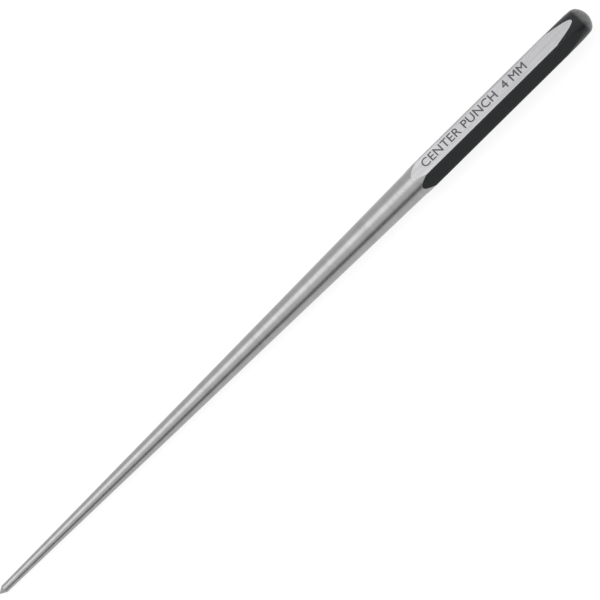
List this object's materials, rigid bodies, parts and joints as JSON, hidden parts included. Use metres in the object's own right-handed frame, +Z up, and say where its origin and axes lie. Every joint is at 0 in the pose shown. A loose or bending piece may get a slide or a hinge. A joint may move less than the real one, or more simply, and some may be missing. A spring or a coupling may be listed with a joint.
{
  "type": "center punch",
  "caption": "Long center punch: a hexagonal steel bar with a tapered ground shank, a conical point, a blackened grip with one bright flat, and a crowned head.",
  "frame": {"origin": "below the middle of the tool's length, on the surface that one flat of the bar lies on", "axes": "+X along the tool from the point to the struck head, +Z up, square to the flat it lies on; the bright flat faces +Z"},
  "size_m": [0.381, 0.0164, 0.0143],
  "materials": {
    "ground_steel": "satin, ground round the shank and along one flat",
    "black_finish": "thin black oxide on the grip's other flats and the head, a coating and no separate piece"
  },
  "bodies": {
    "root": {"center_punch": "ground_steel"}
  },
  "joints": []
}
